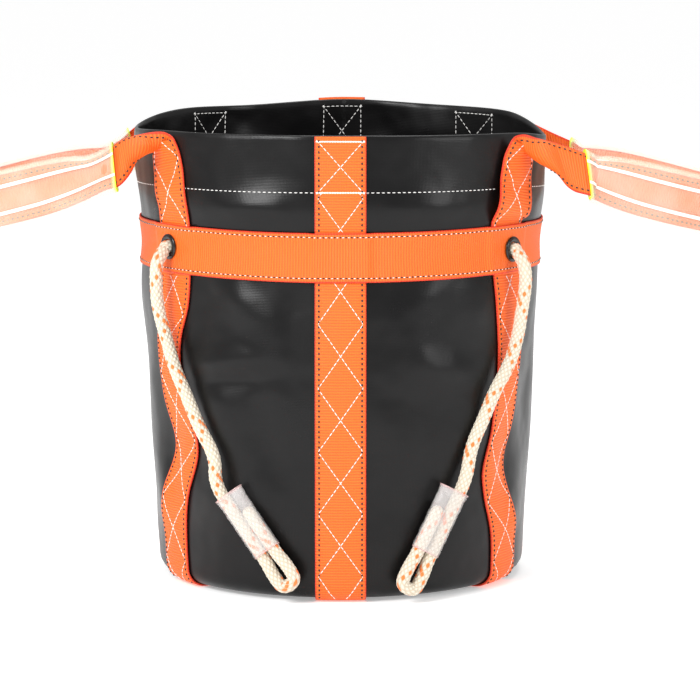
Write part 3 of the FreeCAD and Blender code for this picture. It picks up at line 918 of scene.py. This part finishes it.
def rope_tube(name, line, domed=(False, False), radius=ROPE_R):
    """Braided rope along a line of points, with a rounded end where one is wanted."""
    around = 28
    ahead = np.gradient(line, axis=0)
    ahead /= np.linalg.norm(ahead, axis=1, keepdims=True)
    beside = np.cross(ahead[0], (0.3, 0.2, 0.93))
    frames = []
    for way in ahead:
        beside = beside - way * np.dot(beside, way)
        beside /= np.linalg.norm(beside)
        frames.append((beside.copy(), np.cross(way, beside)))
    frames = np.array(frames)
    along = np.concatenate([[0], np.cumsum(np.linalg.norm(np.diff(line, axis=0), axis=1))])
    turn = np.linspace(0, 1, around, endpoint=False)
    around_it, along_it = 8 * turn[None, :], 8 * along[:, None] / BRAID_LEAD
    lay = (around_it + along_it, around_it - along_it)
    crown = np.abs(np.sin(math.pi * lay[0]) * np.sin(math.pi * lay[1]))
    size = radius - 0.35 + 0.45 * crown
    for end, from_end in zip(domed, (along, along[-1] - along)):
        if end:
            size *= np.sqrt(np.clip(1 - np.clip(1 - from_end / radius, 0, 1) ** 2, 0.01, 1))[:, None]
    ring = frames[:, :1] * np.cos(2 * math.pi * turn)[None, :, None]
    ring = ring + frames[:, 1:] * np.sin(2 * math.pi * turn)[None, :, None]
    points = line[:, None] + ring * size[..., None]
    points = np.concatenate([points, points[:, :1]], axis=1)
    faces = grid_faces(len(line), around + 1)
    last = (len(line) - 1) * (around + 1)
    faces += [tuple(range(around + 1)), tuple(range(last, last + around + 1))]
    uv = np.stack(np.broadcast_arrays(np.linspace(0, 1, around + 1)[None, :], along[:, None]), axis=-1)
    rope = make_mesh(name, points, faces, uv)
    shape = bmesh.new()
    shape.from_mesh(rope.data)
    bmesh.ops.remove_doubles(shape, verts=shape.verts, dist=1e-6)
    bmesh.ops.recalc_face_normals(shape, faces=shape.faces)
    shape.to_mesh(rope.data)
    shape.free()
    rope.data.materials.append(ROPE_FINISH)
    return rope


def eye_axes(side):
    """Middle of the doubled rope's top, and its directions down and across, as in its solid."""
    top, bottom = EYE_TOP[side], EYE_BOTTOM[side]
    down = (bottom - top).normalized()
    halfway = top + (bottom - top) / 2
    across = down.cross(Vector((halfway.x, halfway.y, 0))) * (-1 if side == "left" else 1)
    return top, down, across.normalized(), (bottom - top).length


for side, sign in (("left", -1), ("right", 1)):
    top, down, across, length = eye_axes(side)
    start = EXIT[side]
    first = Vector(ROPE_POINTS[side][0])
    lead = start + (first - start).normalized() * 0.0055
    end = top - across * LEG
    route = [start, lead] + [Vector(point) for point in ROPE_POINTS[side]] + [end - down * 0.014, end]
    line = line_points(route, 0.8)
    rope = rope_tube("tether_rope_" + side, line, (True, False))
    wide = LEG + 0.0016
    outline = [(-LEG, 0), (-LEG, length - 0.020), (-wide, length - 0.012), (-wide, length + 0.002)]
    outline += [(-0.0028, length + 0.0045), (0.0028, length + 0.0045), (wide, length + 0.002)]
    outline += [(wide, length - 0.012), (LEG, length - 0.020), (LEG, 0.014)]
    eye_line = line_points([top + across * x + down * s for x, s in outline], 0.8)
    eye = rope_tube("tether_eye_" + side, eye_line, (False, True))
    way, knot_middle = EXIT_WAY[side], EXIT[side] - EXIT_WAY[side] * 0.0205
    stub_line = line_points([start + way * s for s in (-0.012, -0.008, -0.003, 0.0048)], 0.5)
    stub = rope_tube("rope_in_eyelet_" + side, stub_line, (False, True), 4.9)
    beside = way.cross(Vector((0, 0, 1))).normalized()
    bend = []
    for t in np.linspace(0, 2 * math.pi, 28):
        flat = beside * (math.sin(t) + 2 * math.sin(2 * t))
        flat = flat + Vector((0, 0, 1)) * (math.cos(t) - 2 * math.cos(2 * t))
        bend.append(knot_middle + flat * 0.0021 - way * math.sin(3 * t) * 0.0036)
    knot = rope_tube("stopper_knot_rope_" + side, line_points(bend, 1.0), (True, True), 4.2)
    for piece, body, node in ((rope, "rope_", "rope_"), (eye, "rope_", "rope_eye_"),
                              (stub, None, "rope_stub_"), (knot, None, "stopper_knot_")):
        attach(piece, body + side if body else "bag")
        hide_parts(node + side)

# --- Clear sleeves ----------------------------------------------------------------------------------------
# A clear shrink sleeve holds each rope's folded end. It is tight on the rope, crinkled along it, a little
# flared at its top, and shows pinkish along its cut edges.


def clear_finish():
    """Clear shrunk plastic with soft crinkles."""
    material, nodes, links, shader = new_material("clear_shrink_sleeve", Roughness=0.12, Alpha=0.3)
    blotch, grain, place = handled_marks(nodes, links, 120.0, 900.0)
    cut = nodes.new("ShaderNodeAttribute")
    cut.attribute_name = "cut_rim"
    links.new(mixed(nodes, links, cut.outputs["Fac"], colour(238, 234, 232), colour(232, 190, 186)),
              shader.inputs["Base Color"])
    cover = maths(nodes, links, "ADD", maths(nodes, links, "MULTIPLY", blotch, 0.28), 0.1)
    edge = maths(nodes, links, "MULTIPLY", cut.outputs["Fac"], 0.6)
    links.new(maths(nodes, links, "MAXIMUM", cover, edge), shader.inputs["Alpha"])
    add_bump(nodes, links, shader, blotch, 0.0012)
    material.surface_render_method = "BLENDED"
    return material


CLEAR_FINISH = clear_finish()
for side, sign in (("left", -1), ("right", 1)):
    top, down, across, length = eye_axes(side)
    out = across.cross(down)
    levels = np.linspace(-0.002, length - 0.0255, 44) / MM
    rows = []
    for grow in (0.9, 0.1):
        ring = []
        for level in levels:
            flare = 1.0 * math.exp(-(level + 2) / 3.0)
            pinch = 0.22 * math.sin(level * 0.9 + sign) * math.sin(level * 0.37)
            oval = flat_oval(10.65 + grow + flare + pinch, 5.3 + grow + 0.4 * flare + pinch, 48)
            middle = np.array(top) / MM + np.array(down) * level
            ring.append(middle + oval[:, :1] * np.array(across) + oval[:, 1:] * np.array(out))
        rows.append(np.array(ring))
    clear = tube_shell("clear_shrink_" + side, rows[0], rows[1], 1.0)
    clear.data.materials.append(CLEAR_FINISH)
    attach(clear, "rope_" + side)
    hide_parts("clear_sleeve_" + side)
    rope, eye = scene.objects["tether_rope_" + side], scene.objects["tether_eye_" + side]

# --- Stitching --------------------------------------------------------------------------------------------
# Thick polyester thread, in single short stitches that sink a little at both ends. Black thread runs along
# both edges of the webbing; white thread crosses it in a long double zigzag and holds the hem.

THREAD = 0.36


def thread_finish(name, dark, light):
    """Twisted polyester thread, fibrous under its slight shine."""
    material, nodes, links, shader = new_material(name, Roughness=0.5, Sheen_Weight=0.1)
    blotch, grain, place = handled_marks(nodes, links, 300.0, 2600.0)
    links.new(mixed(nodes, links, blotch, dark, light), shader.inputs["Base Color"])
    add_bump(nodes, links, shader, grain, 0.0002)
    return material


BLACK_THREAD = thread_finish("black_thread", colour(10, 10, 11), colour(34, 33, 34))
WHITE_THREAD = thread_finish("white_thread", colour(225, 222, 218), colour(255, 253, 250))


def stitch_tree():
    """Nodes that lay one stitch after another along every line of a mesh."""
    tree = bpy.data.node_groups.new("stitches", "GeometryNodeTree")
    sockets = {}
    for label, kind in (("Lines", "Geometry"), ("Pitch", "Float"), ("Half Length", "Float"),
                        ("Thickness", "Float"), ("Thread", "Material")):
        sockets[label] = tree.interface.new_socket(label, in_out="INPUT", socket_type="NodeSocket" + kind)
    tree.interface.new_socket("Stitches", in_out="OUTPUT", socket_type="NodeSocketGeometry")
    given, made = tree.nodes.new("NodeGroupInput"), tree.nodes.new("NodeGroupOutput")
    curve = tree.nodes.new("GeometryNodeMeshToCurve")
    spots = tree.nodes.new("GeometryNodeCurveToPoints")
    spots.mode = "LENGTH"
    stitch = tree.nodes.new("GeometryNodeMeshUVSphere")
    stitch.inputs["Segments"].default_value = 6
    stitch.inputs["Rings"].default_value = 5
    stitch.inputs["Radius"].default_value = 1.0
    turn = tree.nodes.new("FunctionNodeAlignRotationToVector")
    turn.axis = "Z"
    size = tree.nodes.new("ShaderNodeCombineXYZ")
    place = tree.nodes.new("GeometryNodeInstanceOnPoints")
    smooth = tree.nodes.new("GeometryNodeSetShadeSmooth")
    real = tree.nodes.new("GeometryNodeRealizeInstances")
    paint = tree.nodes.new("GeometryNodeSetMaterial")
    link = tree.links.new
    link(given.outputs["Lines"], curve.inputs["Mesh"])
    link(curve.outputs["Curve"], spots.inputs["Curve"])
    link(given.outputs["Pitch"], spots.inputs["Length"])
    link(spots.outputs["Tangent"], turn.inputs["Vector"])
    link(given.outputs["Thickness"], size.inputs["X"])
    link(given.outputs["Thickness"], size.inputs["Y"])
    link(given.outputs["Half Length"], size.inputs["Z"])
    link(stitch.outputs["Mesh"], smooth.inputs["Geometry"])
    link(smooth.outputs["Geometry"], place.inputs["Instance"])
    link(spots.outputs["Points"], place.inputs["Points"])
    link(turn.outputs["Rotation"], place.inputs["Rotation"])
    link(size.outputs["Vector"], place.inputs["Scale"])
    link(place.outputs["Instances"], real.inputs["Geometry"])
    link(real.outputs["Geometry"], paint.inputs["Geometry"])
    link(given.outputs["Thread"], paint.inputs["Material"])
    link(paint.outputs["Geometry"], made.inputs["Stitches"])
    return tree, {label: socket.identifier for label, socket in sockets.items()}


STITCHES, STITCH_INPUTS = stitch_tree()


def stitches(name, lines, pitch, length, thread, body="bag", thick=THREAD):
    """Stitches along lines of points in millimetres, made a plain mesh that rides on one body."""
    points, edges = [], []
    for line in lines:
        edges += [(len(points) + i, len(points) + i + 1) for i in range(len(line) - 1)]
        points += (np.asarray(line) * MM).tolist()
    mesh = bpy.data.meshes.new(name + "_lines")
    mesh.from_pydata(points, edges, [])
    holder = bpy.data.objects.new(name + "_lines", mesh)
    scene.collection.objects.link(holder)
    nodes = holder.modifiers.new("stitches", "NODES")
    nodes.node_group = STITCHES
    for label, value in (("Pitch", pitch * MM), ("Half Length", length * MM / 2), ("Thickness", thick * MM),
                         ("Thread", thread)):
        nodes[STITCH_INPUTS[label]] = value
    bpy.context.view_layer.update()
    sewn = bpy.data.meshes.new_from_object(holder.evaluated_get(bpy.context.evaluated_depsgraph_get()))
    bpy.data.objects.remove(holder)
    piece = bpy.data.objects.new(name, sewn)
    scene.collection.objects.link(piece)
    if body:
        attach(piece, body)
    return piece


CROSSING = 44.5


def zigzag(along, flip):
    """Distance across the webbing of one line of the double zigzag, at distances along it."""
    return flip * 16.5 * (4 * np.abs(((along - CROSSING) / 95.0 + 0.25) % 1 - 0.5) - 1)


FACE = WEB_LIFT + WEB + 0.05
EDGE_SEAMS = (-15.8, 15.8)      # from the middle of the webbing
edge_lines, cross_lines, tack_lines = [], [], []
for lean in (left_lean, right_lean, steady(120), steady(-120), steady(0), steady(180)):
    heights = np.arange(4.0, 240, 1.5)
    edge_lines += [up_wall(lean, heights, u, FACE) for u in EDGE_SEAMS]
    cross_lines += [up_wall(lean, heights, zigzag(heights, flip), FACE) for flip in (-1, 1)]
for lean in (steady(0), steady(180)):
    heights = np.arange(281, STRAP_TOP - 3, 1.5)
    edge_lines += [up_wall(lean, heights, u, FACE) for u in EDGE_SEAMS]
    heights = np.arange(281, HEM_LINE, 1.5)
    cross_lines += [up_wall(lean, heights, zigzag(heights, flip), FACE) for flip in (-1, 1)]
    heights = np.linspace(HEM_LINE, STRAP_TOP - 4, 26)
    cross_lines += [up_wall(lean, heights, np.linspace(-16.5, 16.5, 26) * flip, FACE) for flip in (-1, 1)]
    tack = np.linspace(-17, 17, 12)
    tack_lines += [up_wall(lean, height, tack, FACE) for height in (HEM_LINE, STRAP_TOP - 4)]
stitches("strap_edge_stitches", edge_lines, 3.9, 2.0, BLACK_THREAD, "bag", 0.72)
stitches("strap_cross_stitches", cross_lines, 3.75, 3.3, WHITE_THREAD)
stitches("strap_tack_stitches", tack_lines, 1.9, 2.4, WHITE_THREAD, "bag", 0.65)

clear_of_straps = [(8, 50), (64, 113), (127, 172), (-50, -8), (-113, -64), (-172, -127)]
hem_lines = [on_sheet(np.arange(low, high, 0.5), HEM_LINE, 0.1)[0] for low, high in clear_of_straps]
stitches("hem_stitches", hem_lines, 3.9, 2.6, WHITE_THREAD)

belt_lines = [on_belt(np.arange(-180, 180.2, 0.4), np.array(u), np.array(WEB + 0.05)) for u in EDGE_SEAMS]
shifted = [on_belt(np.arange(-179.2, 181.0, 0.4), np.array(u), np.array(WEB + 0.05)) for u in EDGE_SEAMS]
stitches("belt_stitches_black", belt_lines, 4.2, 1.9, BLACK_THREAD, "bag", 0.55)
stitches("belt_stitches_white", shifted, 4.2, 1.6, WHITE_THREAD)

box_lines = []
for middle in (180.0, 133.0, -133.0):
    low, high, half = 312.0, 349.0, 6.4
    level = (((-1, low), (1, low)), ((-1, high), (1, high)))
    upright = (((-1, low), (-1, high)), ((1, low), (1, high)))
    diagonal = (((-1, low), (1, high)), ((1, low), (-1, high)))
    for ends in level + upright + diagonal:
        way = np.linspace(0, 1, 24)
        angle = middle + half * (ends[0][0] + (ends[1][0] - ends[0][0]) * way)
        box_lines.append(on_sheet(angle, ends[0][1] + (ends[1][1] - ends[0][1]) * way, -3.35)[0])
stitches("inside_box_stitches", box_lines, 3.75, 3.0, WHITE_THREAD)

for side, sign in (("left", -1), ("right", 1)):
    edges = LOOP_EDGES[side]
    count = len(edges)
    along = np.linspace(0, count - 1, count) * np.linalg.norm(edges[2].mean(axis=0) - edges[1].mean(axis=0))
    dots = []
    for seam in (-15.5, 15.5):
        row = loop_rows(edges, side, np.array([[[seam, WEB + 0.05]]]))[:, 0]
        dots.append(row * (sign, 1, 1))
    on_wall = along < 92
    crossing = []
    for flip in (-1, 1):
        section = np.stack([zigzag(along, flip), np.full(count, WEB + 0.05)], axis=-1)[:, None]
        path = loop_rows(edges, side, section)[:, 0] * (sign, 1, 1)
        crossing += [path[on_wall & (along > 20)], path[(along > along[-1] - 92) & (along < along[-1] - 20)]]
    black = stitches("loop_stitches_black_" + side, dots, 4.3, 2.2, BLACK_THREAD, None, 0.72)
    white = stitches("loop_stitches_white_" + side, crossing, 3.75, 3.2, WHITE_THREAD, None)
    for piece in (black, white):
        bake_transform(piece)

# --- View and light ---------------------------------------------------------------------------------------
# A plain pale floor, a broad soft light from the front left, and a weaker one from the right.


def stage_floor():
    floor = make_mesh("floor", [(-4e4, -9e3, -0.2), (4e4, -9e3, -0.2), (4e4, 9e4, -0.2), (-4e4, 9e4, -0.2)],
                      [(0, 1, 2, 3)])
    material, nodes, links, shader = new_material("pale_floor", Roughness=0.85)
    shader.inputs["Base Color"].default_value = colour(250, 250, 250)
    shader.inputs["Emission Color"].default_value = colour(255, 255, 255)
    shader.inputs["Emission Strength"].default_value = 0.34
    floor.data.materials.append(material)


def soft_light(name, place, aim, size, watts):
    lamp = bpy.data.lights.new(name, "AREA")
    lamp.size = size
    lamp.energy = watts
    light = bpy.data.objects.new(name, lamp)
    light.location = place
    light.rotation_euler = (Vector(aim) - Vector(place)).to_track_quat("-Z", "Y").to_euler()
    scene.collection.objects.link(light)


stage_floor()
soft_light("key_light", (-1.5, -1.9, 1.7), (0, 0, 0.18), 0.9, 60)
soft_light("right_light", (1.9, -1.2, 0.9), (0, 0, 0.18), 0.7, 12)
soft_light("top_light", (0.2, 0.5, 2.2), (0, 0, 0.2), 1.2, 24)
world = bpy.data.worlds.new("studio")
world.use_nodes = True
world.node_tree.nodes["Background"].inputs["Color"].default_value = (1.0, 1.0, 1.0, 1)
ways = world.node_tree.nodes.new("ShaderNodeLightPath")
strength = world.node_tree.nodes.new("ShaderNodeMapRange")
strength.inputs["To Min"].default_value = 0.68
strength.inputs["To Max"].default_value = 1.0
world.node_tree.links.new(ways.outputs["Is Camera Ray"], strength.inputs["Value"])
world.node_tree.links.new(strength.outputs["Result"], world.node_tree.nodes["Background"].inputs["Strength"])
scene.world = world

lens = bpy.data.cameras.new("view")
lens.lens = 158
camera = bpy.data.objects.new("view", lens)
camera.location = (0.007, -2.4, 0.48)
camera.rotation_euler = (Vector((0.007, 0, 0.173)) - camera.location).to_track_quat("-Z", "Y").to_euler()
scene.collection.objects.link(camera)
scene.camera = camera
scene.view_settings.view_transform = "Standard"
